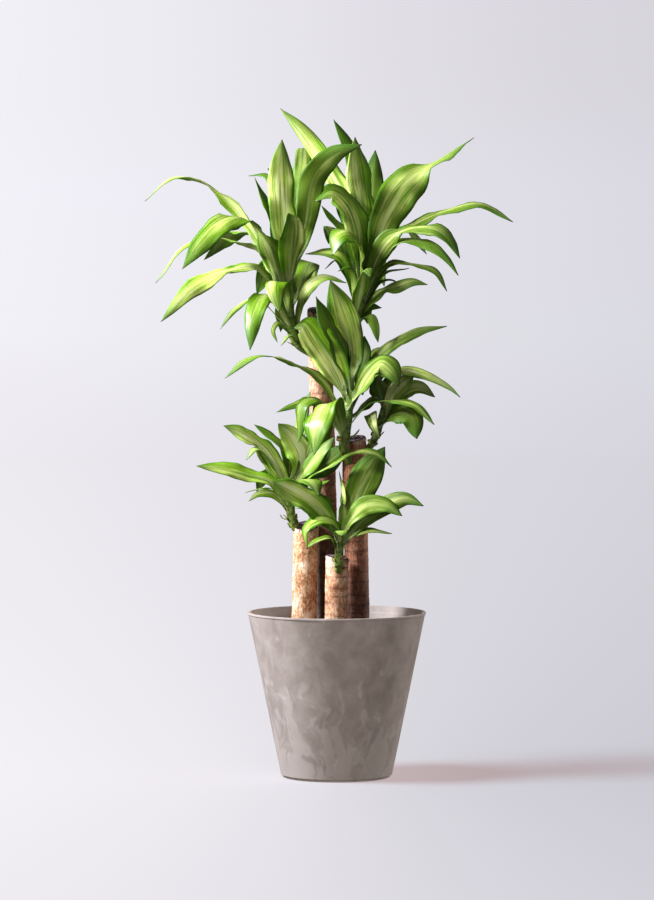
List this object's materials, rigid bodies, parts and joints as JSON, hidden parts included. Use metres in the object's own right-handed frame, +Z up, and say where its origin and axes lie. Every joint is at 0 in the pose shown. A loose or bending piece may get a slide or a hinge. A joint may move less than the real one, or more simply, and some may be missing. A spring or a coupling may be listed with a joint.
{
  "type": "potted dracaena",
  "caption": "house plant with bare woody canes of different heights, each crowned by arching striped strap leaves, standing in a tapered round pot of soil",
  "frame": {"origin": "centre of the pot's underside, on the surface it stands on", "axes": "+Z up along the plant's height, the pictured front faces -Y, +X to the right"},
  "size_m": [0.6765, 0.3901, 1.2364],
  "materials": {
    "pot": "matte cast grey, lightly mottled",
    "soil": "loose potting mix of bark and coir",
    "cane": "dry ringed bark with fine cracks",
    "leaf": "glossy leaf, pale stripe down the middle and dark margins"
  },
  "bodies": {
    "root": {"pot": "pot", "soil": "soil", "cane_left": "cane", "cane_front": "cane", "cane_right": "cane", "cane_tall": "cane", "shoot_upper_left": "leaf", "shoot_upper_right": "leaf", "shoot_middle": "leaf", "shoot_right": "leaf", "shoot_low_left": "leaf", "shoot_low_left_small": "leaf", "shoot_front": "leaf"}
  },
  "joints": []
}
